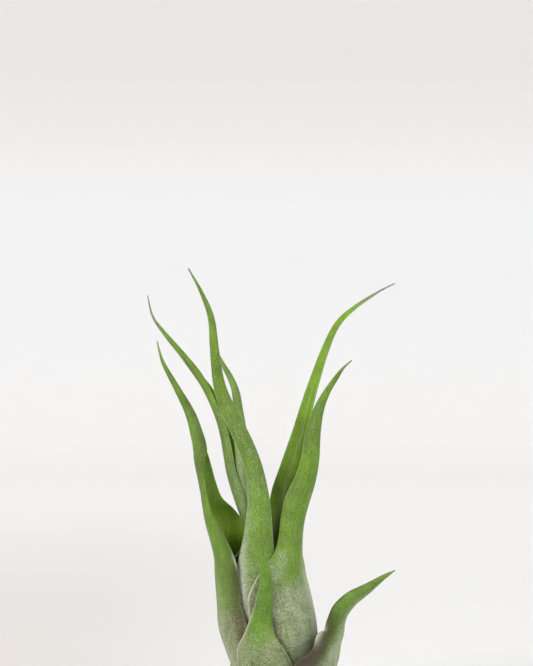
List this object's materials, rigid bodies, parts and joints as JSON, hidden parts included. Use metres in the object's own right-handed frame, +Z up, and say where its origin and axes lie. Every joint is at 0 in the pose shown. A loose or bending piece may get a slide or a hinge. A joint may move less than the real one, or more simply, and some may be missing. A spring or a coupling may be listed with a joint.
{
  "type": "air plant",
  "caption": "Rosette of slender channelled leaves rising and arching from broad sheaths wrapped into a bulb, on a short stem with wiry roots; stands on its base.",
  "frame": {"origin": "middle of the flat foot of the stem, on the surface that the plant stands on", "axes": "+Z up along the plant's height; the front of the plant looks along -Y; +X to the right as seen from the front"},
  "size_m": [0.0765, 0.0543, 0.136],
  "materials": {
    "leaf": "soft green leaf with a silvery scurf of fine scales, matt",
    "stem": "dry brown bark, matt"
  },
  "bodies": {
    "root": {"stem": "stem", "leaf_right_low": "leaf", "leaf_back_low": "leaf", "leaf_front_low": "leaf", "leaf_back_right": "leaf", "leaf_left": "leaf", "leaf_right": "leaf", "leaf_back": "leaf", "leaf_right_tall": "leaf", "leaf_left_tall": "leaf", "leaf_front": "leaf", "leaf_young_back": "leaf", "leaf_young_front": "leaf"}
  },
  "joints": []
}
